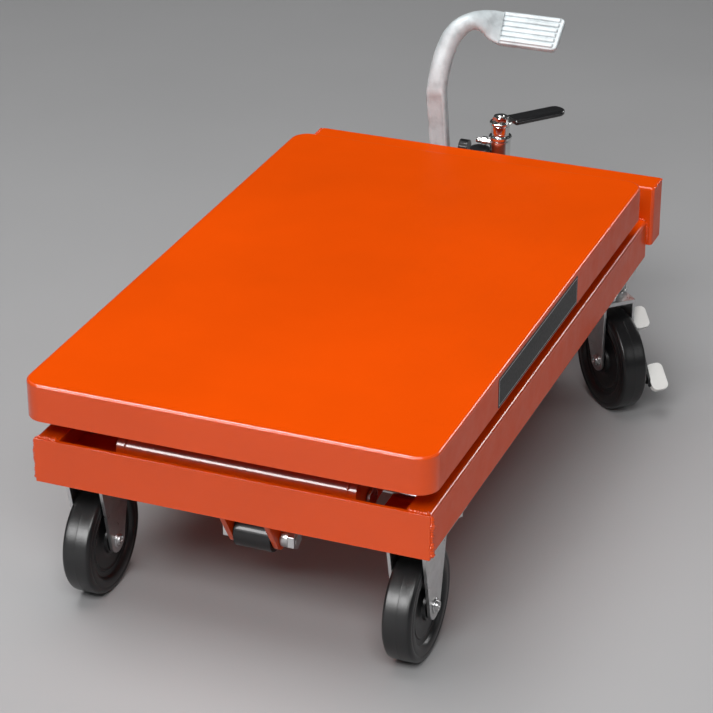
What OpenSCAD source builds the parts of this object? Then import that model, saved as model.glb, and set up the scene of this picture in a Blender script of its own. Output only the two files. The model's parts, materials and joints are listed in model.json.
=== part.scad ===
// Hydraulic scissor lift table on four castors, drawn with the table lowered.
// X runs across the table, Y from the front end to the pedal end, Z up from the floor.
// The origin is on the floor, under the middle of the overall length and width.

/* [Table] */
// Width of the table top
table_w = 450; // [440:2:452]
// Length of the table top
table_l = 736; // [720:2:744]
// Height of the lowered table top above the floor
table_h = 277; // [274:1:280]
// Depth of the skirt round the table
skirt_h = 42; // [36:1:44]
// Radius of the table's upright corners
corner_r = 22; // [16:1:26]
// Thickness of the table sheet
sheet_t = 3; // [2:0.5:3]

/* [Frame] */
// Overall length, from the table's front edge to the back of the pedal
overall_l = 950; // [940:2:960]
// Width over the side rails
frame_w = 437; // [435:1:440]
// Height of a side rail
rail_h = 51; // [50:0.5:52]
// Width of a side rail's flanges
rail_flange = 27; // [26:0.5:28]
// Wall thickness of the side rails
rail_t = 4; // [3.5:0.5:4.5]
// Half width of the rear beam
beam_half_w = 226; // [222:1:230]
// Depth of the rear beam from front to back
beam_d = 38; // [36:1:40]
// Height of the rear beam
beam_h = 76; // [72:1:78]

/* [Scissor] */
// Distance from the table's front edge back to the fixed pivots
pivot_back = 66; // [64:1:68]
// Horizontal reach of an arm from pivot to roller, table lowered
arm_reach = 624; // [610:2:630]
// Height of an arm plate
arm_h = 36; // [32:1:38]
// Thickness of an arm plate
arm_t = 9; // [8:0.5:9]
// Radius of a pivot pin
pin_r = 8; // [7:0.5:8]

/* [Castors] */
// Diameter of the wheels
wheel_d = 125; // [123:1:126]
// Width of the wheels
wheel_w = 32; // [30:1:32]
// Distance of the castors from the centre line
castor_x = 181; // [178:1:182]
// Distance from a swivel castor's king pin to its axle
trail = 38; // [34:1:40]
// Heading of the right swivel castor's trail, turned from +X
swivel_right = -45; // [-60:5:-30]

/* [Hidden] */
$fn = 64;

// Paint and metal colours
paint = "#e84a10";
zinc = "#b9bdbf";
rubber = "#1b1b1c";
cast_silver = "#c3c6c8";
black_paint = "#232426";
chrome = "#d8dadb";
white_plastic = "#ececea";
bright_steel = "#a7abae";

// Running clearance of a hole round its pin, on the radius
run = 0.05;
// A little extra for cuts that pass right through
cut = 1;

// Frame levels and planes
y_front = -overall_l / 2;
frame_y = y_front + 12;
plate_t = 4.5;
rail_top = table_h - 69.5;
rail_bottom = rail_top - rail_h;
rail_y0 = frame_y + plate_t;
beam_y = y_front + 781;
beam_top = table_h - 25.5;
beam_back = beam_y + beam_d;
rail_x = frame_w / 2;
rail_inner_x = rail_x - rail_flange;
flange_depth = 76;
flange_y = frame_y + flange_depth;

// Scissor geometry, table lowered
pivot_y = y_front + pivot_back;
low_z = rail_bottom + rail_h / 2;
high_z = table_h - 24;
roller_y = pivot_y + arm_reach;
rest_angle = atan2(high_z - low_z, arm_reach);
inner_x = 124;
outer_x = 156;
arm_end_r = arm_h / 2;
tie_tube = [y_front + 44, table_h - 76];
tie_tube_r = 13.6;
crossbar_at = 260;
crossbar_r = 12;
crossbar = [pivot_y + crossbar_at * cos(rest_angle), low_z + crossbar_at * sin(rest_angle)];

// Rollers and their tracks
low_roller_r = rail_h / 2 - rail_t - 0.3;
high_roller_r = 17.6;
track_t = 3;
track_x = 150.5;
track_inner_h = 36.2;
shaft_r = 9;

// Lift cylinder, from its base pin to the crossbar
ram_pin = [y_front + 88, table_h - 175];
ram_angle = atan2(crossbar[1] - ram_pin[1], crossbar[0] - ram_pin[0]);
ram_length = norm(crossbar - ram_pin) - crossbar_r - 0.3;
ram_pin_r = 7;
barrel_r = 20;
ear_x = 22;
ear_t = 6;

// Castors
wheel_r = wheel_d / 2;
castor_top = rail_bottom;
castor_plate_t = 4;
front_castor_y = y_front + 78;
rear_castor_y = y_front + 715;
leg_gap = 35;
leg_t = 3.5;
axle_r = 6;
stud_r = 4;
stud_dx = 26;
stud_dy = 44;
crown_z = castor_top - 18.5;
crown_t = 5;
brake_pivot = [trail + 26, wheel_r + 16];
brake_y = leg_gap / 2 + leg_t + 0.6;
pad_centre = [[trail + 48.5, wheel_r - 12], [trail - 1.5, wheel_r + 45.5]];
pad_length = [34, 28];
pad_tilt = 45;

// Pump, pedal and valve behind the rear beam
pump_bottom = table_h - 140;
pump_low_top = table_h - 104;
pump_top = table_h - 58;
pump_d = 60;
pump_bolt_x = [-28, 38];
pump_bolt_z = [pump_top - 12, beam_top - beam_h + 8];
pedal_axis = [y_front + 858, table_h - 62];
pedal_shaft_r = 7;
rocker_r = 26;
rocker_angle = 25;
rocker_roller_r = 10;
plunger_x = -54;
plunger_y = pedal_axis[0] + rocker_r;
plunger_r = 6;
plunger_top = pedal_axis[1] + rocker_r * sin(rocker_angle) - rocker_roller_r - 0.3;
gland_top = pump_low_top + 6;

// Pedal lever: the neck's centre line from the shaft, and the tread
neck_offsets = [
    [-86, 4, 88], [-84, 14, 122], [-79, 26, 152], [-67, 36, 173], [-48, 48, 179], [-24, 66, 165]
];
neck_r = 11;
tread_size = [82, 50, 9];
tread_tilt = 35;
tread_reach = (tread_size[1] * cos(tread_tilt) + tread_size[2] * sin(tread_tilt)) / 2;
tread_centre = [15, overall_l / 2 - tread_reach, pedal_axis[1] + 161];

// Release valve
valve_x = 6;
valve_y = y_front + 845;
valve_z = table_h + 3;
valve_arm = 50;

// Plunger return spring
spring_turns = 4.5;
spring_sides = 8;
spring_rings = 72;
spring_wire = 1.2;
spring_r = 9;
spring_z0 = gland_top + spring_wire + 0.1;
spring_z1 = plunger_top - 4 - spring_wire - 0.1;

// Pressure pipe
pipe_r = 3;
pipe_z = rail_bottom + 8.5;
pipe_bend = 16;
pipe_x = rail_inner_x - 7.5;
pipe_cross_y = y_front + 115;
banjo_x = 33;
pump_port_x = 30;

// ---------------------------------------------------------------- helpers

// Extrudes a profile drawn in (y, z) along X, from x to x + t.
module along_x(x, t) {
    translate([x, 0, 0]) rotate([90, 0, 90]) linear_extrude(t) children();
}

// Extrudes a profile drawn in (x, z) along Y, from y0 to y1.
module along_y(y0, y1) {
    translate([0, y1, 0]) rotate([90, 0, 0]) linear_extrude(y1 - y0) children();
}

// A round bar along X at (y, z).
module bar_x(x0, x1, r, at) {
    translate([x0, at[0], at[1]]) rotate([0, 90, 0]) cylinder(r = r, h = x1 - x0);
}

// A hexagon bar along X at (y, z); r is to the corners.
module hex_x(x0, x1, r, at) {
    translate([x0, at[0], at[1]]) rotate([0, 90, 0]) cylinder(r = r, h = x1 - x0, $fn = 6);
}

module both_sides() {
    children();
    mirror([1, 0, 0]) children();
}

// Draws the right-hand shape, mirrored when side is -1.
module on_side(side) {
    mirror([side < 0 ? 1 : 0, 0, 0]) children();
}

// A flat link with round ends, drawn from p to q.
module link_2d(p, q, r) {
    d = q - p;
    n = [-d[1], d[0]] / norm(d) * r;
    polygon([p + n, p - n, q - n, q + n]);
    translate(p) circle(r);
    translate(q) circle(r);
}

// A rectangle with round corners.
module rounded_2d(w, l, r) {
    square([w - 2 * r, l], center = true);
    square([w, l - 2 * r], center = true);
    for (x = [-1, 1], y = [-1, 1]) translate([x * (w / 2 - r), y * (l / 2 - r)]) circle(r);
}

// A channel open towards -X, its outer bends round.
module channel_2d(w, h, t) {
    difference() {
        union() {
            square([w - t, h]);
            translate([0, t]) square([w, h - 2 * t]);
            translate([w - t, t]) circle(t);
            translate([w - t, h - t]) circle(t);
        }
        translate([-cut, t]) square([w - t + cut, h - 2 * t]);
    }
}

// A quarter bend of pipe round the point c, from direction u to direction v.
module elbow(c, u, v, bend, r) {
    w = cross(u, v);
    multmatrix([
        [u[0], v[0], w[0], c[0]],
        [u[1], v[1], w[1], c[1]],
        [u[2], v[2], w[2], c[2]],
        [0, 0, 0, 1]
    ]) rotate_extrude(angle = 90) translate([bend, 0]) circle(r);
}

// A straight run of pipe between two points.
module run_of_pipe(a, b, r) {
    d = b - a;
    translate(a) rotate([0, acos(d[2] / norm(d)), atan2(d[1], d[0])]) cylinder(r = r, h = norm(d));
}

// Places a castor part drawn with its king pin at the origin and its trail along +X.
module at_rear_castor(side) {
    on_side(side) translate([castor_x, rear_castor_y, 0]) rotate([0, 0, swivel_right]) children();
}

// ---------------------------------------------------------------- base frame

// The rails' lower flanges are drilled for the castors' outer bolts.
module side_rail(side) {
    color(paint) on_side(side) difference() {
        along_y(rail_y0, beam_y)
            translate([rail_inner_x, rail_bottom]) channel_2d(rail_flange, rail_h, rail_t);
        castor_bolt_holes(front_castor_y, [stud_dx]);
        castor_bolt_holes(rear_castor_y, [stud_dx]);
    }
}

// Holes for a castor's bolts, in the columns dx away from its centre.
module castor_bolt_holes(y0, columns) {
    for (dx = columns, y = [-stud_dy, stud_dy])
        translate([castor_x + dx, y0 + y, rail_bottom - 10]) cylinder(r = stud_r + 0.2, h = 18);
}

module front_crossmember() {
    notch_half_w = 30;
    color(paint) difference() {
        union() {
            translate([-rail_x, frame_y, rail_bottom]) cube([frame_w, plate_t, rail_h]);
            translate([-rail_inner_x, frame_y, rail_bottom])
                cube([2 * rail_inner_x, flange_depth, plate_t]);
        }
        translate([-notch_half_w, flange_y - 13, rail_bottom - cut])
            cube([2 * notch_half_w, 13 + cut, plate_t + 2 * cut]);
        both_sides() castor_bolt_holes(front_castor_y, [-stud_dx]);
    }
}

// Folded and welded tray, open underneath, drilled for the pump's bolts.
module rear_beam() {
    color(paint) difference() {
        translate([-beam_half_w, beam_y, beam_top - beam_h])
            cube([2 * beam_half_w, beam_d, beam_h]);
        translate([-beam_half_w + 3, beam_y + 3, beam_top - beam_h - cut])
            cube([2 * beam_half_w - 6, beam_d - 6, beam_h - 3 + cut]);
        for (x = pump_bolt_x, z = pump_bolt_z) translate([x, beam_back - 5, z]) rotate([-90, 0, 0])
            cylinder(r = 4, h = 10);
    }
}

// Plates welded to the rails' inner edges, which take the castors' inner bolts.
module castor_mounts() {
    x0 = castor_x - 41;
    color(paint) both_sides() {
        difference() {
            translate([x0, flange_y, rail_bottom])
                cube([rail_inner_x - x0, front_castor_y + 56 - flange_y, plate_t]);
            castor_bolt_holes(front_castor_y, [-stud_dx]);
        }
        difference() {
            translate([x0, rear_castor_y - 58, rail_bottom]) cube([rail_inner_x - x0, 116, plate_t]);
            castor_bolt_holes(rear_castor_y, [-stud_dx]);
        }
    }
}

// A castor's top plate with its four bolt holes.
module castor_plate(y0) {
    difference() {
        translate([castor_x - 34, y0 - 56, castor_top - castor_plate_t]) cube([68, 112, castor_plate_t]);
        castor_bolt_holes(y0, [-stud_dx, stud_dx]);
    }
}

module cylinder_bracket() {
    plate_t = 4;
    tip_r = 15;
    color(paint) {
        translate([-34, flange_y - 50, rail_bottom - plate_t]) cube([68, 37, plate_t]);
        both_sides() difference() {
            along_x(ear_x, ear_t) hull() {
                translate([flange_y - 50, rail_bottom - plate_t]) square([41, plate_t]);
                translate(ram_pin) circle(tip_r);
            }
            bar_x(ear_x - cut, ear_x + ear_t + cut, ram_pin_r + run, ram_pin);
        }
    }
}

// Bolt through the ears, with the pipe's banjo and a nut on the right.
module cylinder_pin() {
    color(zinc) {
        bar_x(-28, 46, ram_pin_r, ram_pin);
        hex_x(-36, -28, 13, ram_pin);
        difference() {
            hex_x(37.5, 45, 12.5, ram_pin);
            bar_x(37, 46, ram_pin_r, ram_pin);
        }
    }
}

module pivot_brackets() {
    base_z = rail_bottom + plate_t;
    color(paint) both_sides() difference() {
        along_x(112, 9) hull() {
            translate([pivot_y, low_z]) circle(14);
            translate([pivot_y - 12, base_z]) square([32, 1]);
        }
        bar_x(112 - cut, 121 + cut, pin_r + run, [pivot_y, low_z]);
    }
}

module pivot_pins() {
    color(bright_steel) both_sides() {
        bar_x(108, 134.5, pin_r, [pivot_y, low_z]);
        bar_x(134.5, 138, pin_r + 4, [pivot_y, low_z]);
        bar_x(109, 111, pin_r + 3, [pivot_y, low_z]);
    }
}

// ---------------------------------------------------------------- castors

module front_fork(side) {
    color(zinc) on_side(side) {
        castor_plate(front_castor_y);
        for (x = [-leg_gap / 2 - leg_t, leg_gap / 2])
            difference() {
                along_x(castor_x + x, leg_t) hull() {
                    translate([front_castor_y - 35, castor_top - castor_plate_t - 6]) square([70, 6]);
                    translate([front_castor_y, wheel_r]) circle(15);
                }
                bar_x(castor_x + x - cut, castor_x + x + leg_t + cut, axle_r, [front_castor_y, wheel_r]);
            }
    }
}

// An axle along X, centred on the wheel, riveted over a washer at each end.
module axle_bolt() {
    half = leg_gap / 2 + leg_t;
    difference() {
        union() {
            bar_x(-half - 4, half + 4, axle_r, [0, 0]);
            bar_x(-half - 1.5, -half, 9, [0, 0]);
            bar_x(half, half + 1.5, 9, [0, 0]);
        }
        bar_x(-half - 5, -half - 2, 3.5, [0, 0]);
        bar_x(half + 2, half + 5, 3.5, [0, 0]);
    }
}

module front_axles() {
    color(zinc) both_sides() translate([castor_x, front_castor_y, wheel_r]) axle_bolt();
}

// Wheel about the X axis: tyre, dished web and hub in one moulding round its bore.
module wheel() {
    w = wheel_w / 2;
    hub = leg_gap / 2 - 0.3;
    half_profile = [
        [axle_r + run, hub], [17, hub], [17, w - 5], [41, w - 5], [44, w - 1.5], [47, w],
        [wheel_r - 4.5, w], [wheel_r - 1.5, w - 1.5], [wheel_r, w - 6]
    ];
    profile = concat(half_profile, [for (i = [len(half_profile) - 1:-1:0])
        [half_profile[i][0], -half_profile[i][1]]]);
    rotate([0, 90, 0]) rotate_extrude() polygon(profile);
}

module front_wheel(side) {
    color(rubber) on_side(side) translate([castor_x, front_castor_y, wheel_r]) wheel();
}

module swivel_plates() {
    plate_bottom = castor_top - castor_plate_t;
    color(zinc) both_sides() {
        castor_plate(rear_castor_y);
        translate([castor_x, rear_castor_y, 0]) {
            translate([0, 0, crown_z + crown_t + 1])
                cylinder(r1 = 31, r2 = 27, h = plate_bottom - crown_z - crown_t - 1);
            translate([0, 0, crown_z - 3.5]) cylinder(r = axle_r, h = plate_bottom - crown_z);
            translate([0, 0, crown_z - 9.5]) cylinder(r = 10.5, h = 8, $fn = 6);
        }
    }
}

module rear_fork(side) {
    half = leg_gap / 2;
    color(zinc) at_rear_castor(side) {
        difference() {
            translate([0, 0, crown_z]) linear_extrude(crown_t) {
                circle(33);
                translate([0, -half - leg_t]) square([52, leg_gap + 2 * leg_t]);
            }
            translate([0, 0, crown_z - cut]) cylinder(r = axle_r + run, h = crown_t + 2 * cut);
        }
        for (y = [-half - leg_t, half])
            difference() {
                along_y(y, y + leg_t) {
                    hull() {
                        translate([-10, crown_z - 4]) square([62, 6]);
                        translate([trail, wheel_r]) circle(13);
                    }
                    if (y > 0) hull() {
                        translate([trail + 4, wheel_r + 10]) circle(10);
                        translate(brake_pivot) circle(10);
                    }
                }
                translate([trail, y - cut, wheel_r]) rotate([-90, 0, 0])
                    cylinder(r = axle_r, h = leg_t + 2 * cut);
                translate([brake_pivot[0], y - cut, brake_pivot[1]]) rotate([-90, 0, 0])
                    cylinder(r = 4 + run, h = leg_t + 2 * cut);
            }
    }
}

module rear_axle(side) {
    color(zinc) at_rear_castor(side) translate([trail, 0, wheel_r]) rotate([0, 0, 90]) axle_bolt();
}

module rear_wheel(side) {
    color(rubber) at_rear_castor(side) translate([trail, 0, wheel_r]) rotate([0, 0, 90]) wheel();
}

// The tab that carries a brake pad, in the pad's own tilted axes.
module pad_tab(i) {
    l = pad_length[i] - 14;
    translate([pad_centre[i][0], brake_y + 1, pad_centre[i][1]]) rotate([0, pad_tilt, 0])
        translate([-l / 2, 0, -1.5]) cube([l, 21, 3]);
}

// Rocker outside the fork with a tab for each pad, on a pin that turns the brake shoe inside.
module brake_lever(side) {
    shoe_y = wheel_w / 2 - 3.2;
    color(black_paint) at_rear_castor(side) {
        along_y(brake_y, brake_y + 3) for (i = [0, 1]) hull() {
            translate(brake_pivot) circle(10);
            translate(pad_centre[i]) circle(6);
        }
        for (i = [0, 1]) pad_tab(i);
        translate([brake_pivot[0], shoe_y, brake_pivot[1]]) rotate([-90, 0, 0]) {
            cylinder(r = 7, h = leg_gap / 2 - shoe_y - 0.3);
            cylinder(r = 4, h = brake_y + 6 - shoe_y);
        }
    }
}

// Moulded pads slipped over the two tabs.
module brake_pads(side) {
    color(white_plastic) at_rear_castor(side) for (i = [0, 1])
        difference() {
            translate([pad_centre[i][0], brake_y + 14.4, pad_centre[i][1]]) rotate([0, pad_tilt, 0])
                translate([0, 0, -3.5]) linear_extrude(7) rounded_2d(pad_length[i], 22, 7);
            pad_tab(i);
        }
}

// ---------------------------------------------------------------- fasteners

// Bolts of the four castors and of the pump.
module frame_bolts() {
    head_z = castor_top - castor_plate_t - 5.5;
    color(zinc) {
        both_sides() for (y0 = [front_castor_y, rear_castor_y], x = [-stud_dx, stud_dx])
            for (y = [-stud_dy, stud_dy]) translate([castor_x + x, y0 + y, head_z]) {
                cylinder(r = 7.5, h = 5.5, $fn = 6);
                cylinder(r = stud_r, h = rail_bottom + rail_t - 0.2 - head_z);
            }
        for (x = pump_bolt_x, z = pump_bolt_z)
            translate([x, beam_back + pump_d, z]) rotate([-90, 0, 0]) {
                cylinder(r = 7.5, h = 5.5, $fn = 6);
                translate([0, 0, -pump_d - 8]) cylinder(r = 4, h = pump_d + 8);
            }
    }
}

// ---------------------------------------------------------------- hydraulics

module pressure_pipe() {
    b = pipe_bend;
    y1 = beam_y + beam_d / 2;
    color(bright_steel) {
        run_of_pipe([pump_port_x, beam_back + 0.2, pipe_z], [pump_port_x, y1 + b, pipe_z], pipe_r);
        elbow([pump_port_x + b, y1 + b, pipe_z], [-1, 0, 0], [0, -1, 0], b, pipe_r);
        run_of_pipe([pump_port_x + b, y1, pipe_z], [pipe_x - b, y1, pipe_z], pipe_r);
        elbow([pipe_x - b, y1 - b, pipe_z], [0, 1, 0], [1, 0, 0], b, pipe_r);
        run_of_pipe([pipe_x, y1 - b, pipe_z], [pipe_x, pipe_cross_y + b, pipe_z], pipe_r);
        elbow([pipe_x - b, pipe_cross_y + b, pipe_z], [1, 0, 0], [0, -1, 0], b, pipe_r);
        run_of_pipe([pipe_x - b, pipe_cross_y, pipe_z], [banjo_x + b, pipe_cross_y, pipe_z], pipe_r);
        elbow([banjo_x + b, pipe_cross_y, pipe_z - b], [0, 0, 1], [-1, 0, 0], b, pipe_r);
        run_of_pipe([banjo_x, pipe_cross_y, pipe_z - b], [banjo_x, pipe_cross_y, ram_pin[1] + 12],
            pipe_r);
        elbow([banjo_x, pipe_cross_y - 12, ram_pin[1] + 12], [0, 1, 0], [0, 0, -1], 12, pipe_r);
        run_of_pipe([banjo_x, pipe_cross_y - 12, ram_pin[1]], [banjo_x, ram_pin[0] + 9, ram_pin[1]], pipe_r);
        difference() {
            bar_x(banjo_x - 4.5, banjo_x + 4.5, 11, ram_pin);
            bar_x(banjo_x - 5.5, banjo_x + 5.5, ram_pin_r, ram_pin);
        }
    }
}

module pipe_clips() {
    color(zinc) for (d = [225, 435, 625])
        translate([0, y_front + d, 0]) difference() {
            translate([pipe_x - 6, -5, rail_bottom])
                cube([rail_inner_x - pipe_x + 6, 10, pipe_z - rail_bottom + 1.5]);
            run_of_pipe([pipe_x, -6, pipe_z], [pipe_x, 6, pipe_z], pipe_r);
        }
}

// One casting: reservoir and valve block, with the pump barrel at its left.
module pump_body() {
    color(black_paint) difference() {
        union() {
            translate([-37, beam_back, pump_bottom]) cube([83, pump_d, pump_top - pump_bottom]);
            translate([-66, beam_back, pump_bottom]) cube([30, pump_d + 19, pump_low_top - pump_bottom]);
        }
        translate([plunger_x, plunger_y, pump_bottom + 3])
            cylinder(r = plunger_r + run, h = pump_low_top - pump_bottom);
        for (x = pump_bolt_x, z = pump_bolt_z)
            translate([x, beam_back - cut, z]) rotate([-90, 0, 0]) cylinder(r = 4, h = pump_d + 2 * cut);
    }
}

module filler_cap() {
    color(black_paint) translate([-21, valve_y, pump_top]) {
        cylinder(r = 9, h = 15);
        translate([0, 0, 15]) cylinder(r = 13, h = 10);
    }
}

module plunger_gland() {
    color(chrome) difference() {
        translate([plunger_x, plunger_y, pump_low_top])
            cylinder(r = 12, h = gland_top - pump_low_top, $fn = 6);
        translate([plunger_x, plunger_y, pump_low_top - cut]) cylinder(r = plunger_r + run, h = 12);
    }
}

module cylinder_barrel() {
    color(black_paint) translate([0, ram_pin[0], ram_pin[1]]) rotate([ram_angle, 0, 0]) difference() {
        union() {
            bar_x(-ear_x + 1, ear_x - 1, 19, [0, 0]);
            translate([0, 8, 0]) rotate([-90, 0, 0]) cylinder(r = barrel_r, h = 186);
        }
        bar_x(-ear_x, ear_x, ram_pin_r + run, [0, 0]);
        translate([0, 34, 0]) rotate([-90, 0, 0]) cylinder(r = 15, h = 161);
    }
}

module cylinder_gland() {
    color(chrome) translate([0, ram_pin[0], ram_pin[1]]) rotate([ram_angle, 0, 0]) difference() {
        union() {
            translate([0, 194, 0]) rotate([-90, 0, 0]) cylinder(r = 21, h = 12);
            translate([0, 182, 0]) rotate([-90, 0, 0]) cylinder(r = 15, h = 12);
        }
        translate([0, 181, 0]) rotate([-90, 0, 0]) cylinder(r = 10 + run, h = 26);
    }
}

// Piston, rod and the flat saddle that bears on the crossbar.
module ram() {
    saddle_t = 10;
    face = ram_length;
    color(chrome) translate([0, ram_pin[0], ram_pin[1]]) rotate([ram_angle, 0, 0]) {
        translate([0, 38, 0]) rotate([-90, 0, 0]) cylinder(r = 15 - run, h = 14);
        translate([0, 50, 0]) rotate([-90, 0, 0]) cylinder(r = 10, h = face - saddle_t - 50 + 1);
        translate([-22, face - saddle_t, -21]) cube([44, saddle_t, 42]);
    }
}

// ---------------------------------------------------------------- pedal and plunger

module pedal_bracket() {
    color(paint) {
        translate([-70, beam_back, pedal_axis[1] - 25]) cube([32.5, 5, 50]);
        for (x = [-68.5, -45.5])
            difference() {
                along_x(x, 6) hull() {
                    translate([beam_back, pedal_axis[1] - 25]) square([5, 50]);
                    translate(pedal_axis) circle(12);
                }
                bar_x(x - cut, x + 6 + cut, pedal_shaft_r + run, pedal_axis);
            }
    }
}

// Shaft with the rocker that works the plunger.
module pedal_shaft() {
    tip = pedal_axis + rocker_r * [cos(rocker_angle), sin(rocker_angle)];
    color(black_paint) {
        bar_x(-94, -38.5, pedal_shaft_r, pedal_axis);
        along_x(-59, 10) link_2d(pedal_axis, tip, 5);
        bar_x(-59, -49, 11, pedal_axis);
        bar_x(-60, -48, rocker_roller_r, tip);
    }
}

// Cast lever: hub, flat-sided shank, curved neck and ribbed tread.
neck = [for (p = neck_offsets) [p[0], pedal_axis[0] + p[1], pedal_axis[1] + p[2]]];

module pedal_lever() {
    color(cast_silver) {
        difference() {
            union() {
                bar_x(-92, -70, 15, pedal_axis);
                along_y(pedal_axis[0] - 4, pedal_axis[0] + 12) translate([0, pedal_axis[1]])
                    polygon([[-91, -8], [-69, -8], [-75, 91], [-97, 91]]);
            }
            bar_x(-93, -69, pedal_shaft_r, pedal_axis);
        }
        for (i = [0:len(neck) - 2])
            hull() {
                translate(neck[i]) sphere(neck_r, $fn = 24);
                translate(neck[i + 1]) sphere(neck_r - (i > 3 ? 3 : 0), $fn = 24);
            }
        translate(tread_centre) rotate([tread_tilt, 0, 0]) {
            linear_extrude(tread_size[2], center = true) rounded_2d(tread_size[0], tread_size[1], 8);
            for (i = [-2.5:1:2.5])
                translate([-38, i * 7.6 - 2.7, tread_size[2] / 2 - 1]) cube([74, 5.4, 3]);
        }
    }
}

module plunger() {
    color(chrome) translate([plunger_x, plunger_y, 0]) {
        translate([0, 0, gland_top - 21]) cylinder(r = plunger_r, h = plunger_top - gland_top + 19);
        translate([0, 0, plunger_top - 4]) cylinder(r = 11, h = 4);
    }
}

// Helical return spring, swept along its coil.
function spring_point(i, k) =
    let (turn = 360 * spring_turns * i / spring_rings, a = 360 * k / spring_sides)
    let (r = spring_r + spring_wire * cos(a), rise = (spring_z1 - spring_z0) * i / spring_rings)
    [r * cos(turn), r * sin(turn), spring_z0 + rise + spring_wire * sin(a)];

module plunger_spring() {
    points = [for (i = [0:spring_rings], k = [0:spring_sides - 1]) spring_point(i, k)];
    skin = [for (i = [0:spring_rings - 1], k = [0:spring_sides - 1])
        let (a = i * spring_sides + k, b = i * spring_sides + (k + 1) % spring_sides)
        [a, a + spring_sides, b + spring_sides, b]];
    ends = [
        [for (k = [0:spring_sides - 1]) k],
        [for (k = [spring_sides - 1:-1:0]) spring_rings * spring_sides + k]
    ];
    color(bright_steel) translate([plunger_x, plunger_y, 0])
        polyhedron(points = points, faces = concat(skin, ends));
}

// ---------------------------------------------------------------- release valve

module valve_body() {
    color(chrome) translate([valve_x, valve_y, 0]) {
        translate([0, 0, pump_top]) cylinder(r = 14.5, h = 15, $fn = 6);
        translate([0, 0, pump_top + 15]) cylinder(r = 13.2, h = 26);
        translate([0, 0, pump_top + 41]) cylinder(r = 14.6, h = 5);
        translate([0, 0, pump_top + 46]) cylinder(r = 12, h = valve_z - pump_top - 46.1);
        translate([0, 0, pump_top + 46]) cylinder(r = 4.5, h = valve_z - pump_top - 34);
        translate([0, 0, valve_z + 3.8]) cylinder(r = 10.5, h = 7, $fn = 6);
        translate([-8, 0, pump_top + 34.8]) rotate([0, -90, 0]) cylinder(r = 4, h = 24);
        translate([-17, 0, pump_top + 34.8]) rotate([0, -90, 0]) cylinder(r = 6, h = 7, $fn = 6);
    }
}

module valve_lever() {
    color(chrome) translate([valve_x, valve_y, valve_z]) rotate([0, 0, valve_arm]) difference() {
        union() {
            cylinder(r = 14, h = 3.6);
            translate([0, -7, 0]) cube([82, 14, 3.6]);
        }
        translate([0, 0, -cut]) cylinder(r = 4.5 + run, h = 8);
    }
}

module valve_grip() {
    color(black_paint) translate([valve_x, valve_y, valve_z]) rotate([0, 0, valve_arm])
    difference() {
        translate([54, 0, -1.9]) linear_extrude(7.4) rounded_2d(78, 28, 13.6);
        translate([0, -7, 0]) cube([82, 14, 3.6]);
    }
}

// ---------------------------------------------------------------- scissor arms

lower_pivot = [pivot_y, low_z];
upper_pivot = [pivot_y, high_z];
upper_roller = [roller_y, high_z];
lower_roller = [roller_y, low_z];
centre_pivot = (lower_pivot + upper_roller) / 2;
bush_r = pin_r + run;

module inner_arm(side) {
    color(paint) on_side(side) difference() {
        along_x(inner_x, arm_t) {
            link_2d(lower_pivot, upper_roller, arm_end_r);
            link_2d(lower_pivot, tie_tube, 14);
        }
        bar_x(inner_x - cut, inner_x + arm_t + cut, bush_r, lower_pivot);
        bar_x(inner_x - cut, inner_x + arm_t + cut, pin_r, centre_pivot);
        bar_x(inner_x - cut, inner_x + arm_t + cut, pin_r, upper_roller);
    }
}

module outer_arm(side) {
    color(paint) on_side(side) difference() {
        along_x(outer_x, arm_t) link_2d(upper_pivot, lower_roller, arm_end_r);
        bar_x(outer_x - cut, outer_x + arm_t + cut, bush_r, upper_pivot);
        bar_x(outer_x - cut, outer_x + arm_t + cut, bush_r, centre_pivot);
        bar_x(outer_x - cut, outer_x + arm_t + cut, shaft_r, lower_roller);
    }
}

module front_tie_tube() {
    color(paint) difference() {
        bar_x(-inner_x, inner_x, tie_tube_r, tie_tube);
        bar_x(-inner_x - cut, inner_x + cut, tie_tube_r - 3, tie_tube);
    }
}

module lift_crossbar() {
    color(paint) bar_x(-inner_x, inner_x, crossbar_r, crossbar);
}

module upper_roller_pins() {
    color(bright_steel) both_sides() {
        bar_x(inner_x - 3, track_x - 0.5, pin_r, upper_roller);
        bar_x(inner_x - 6, inner_x, pin_r + 3, upper_roller);
    }
}

// Pins through both arms, with a spacer sleeve between them and a cap at each end.
module centre_pins() {
    color(bright_steel) both_sides() {
        bar_x(inner_x - 4, outer_x + arm_t + 4, pin_r, centre_pivot);
        bar_x(inner_x - 4, inner_x, pin_r + 4, centre_pivot);
        bar_x(inner_x + arm_t, outer_x - 0.5, pin_r + 4, centre_pivot);
        bar_x(outer_x + arm_t + 0.5, outer_x + arm_t + 4, pin_r + 4, centre_pivot);
    }
}

// One shaft through both outer arms, with a collar inside each.
module lower_roller_shaft() {
    end = rail_x - rail_t - 1;
    color(bright_steel) {
        bar_x(-end, end, shaft_r, lower_roller);
        both_sides() {
            bar_x(outer_x - 5, outer_x, shaft_r + 4, lower_roller);
            bar_x(outer_x + arm_t, rail_inner_x + 1, shaft_r + 4, lower_roller);
        }
    }
}

// A roller about the X axis, between x0 and x1.
module roller(x0, x1, r, bore, at) {
    difference() {
        union() {
            bar_x(x0, x1, r - 1.5, at);
            bar_x(x0 + 1.5, x1 - 1.5, r, at);
        }
        bar_x(x0 - cut, x1 + cut, bore, at);
    }
}

module high_roller(side) {
    color(bright_steel) on_side(side)
        roller(inner_x + arm_t + 2, track_x - 1.5, high_roller_r, pin_r + run, upper_roller);
}

module low_roller(side) {
    color(bright_steel) on_side(side)
        roller(rail_inner_x + 1.5, rail_x - rail_t - 1.5, low_roller_r, shaft_r + run, lower_roller);
}

// ---------------------------------------------------------------- table

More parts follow.
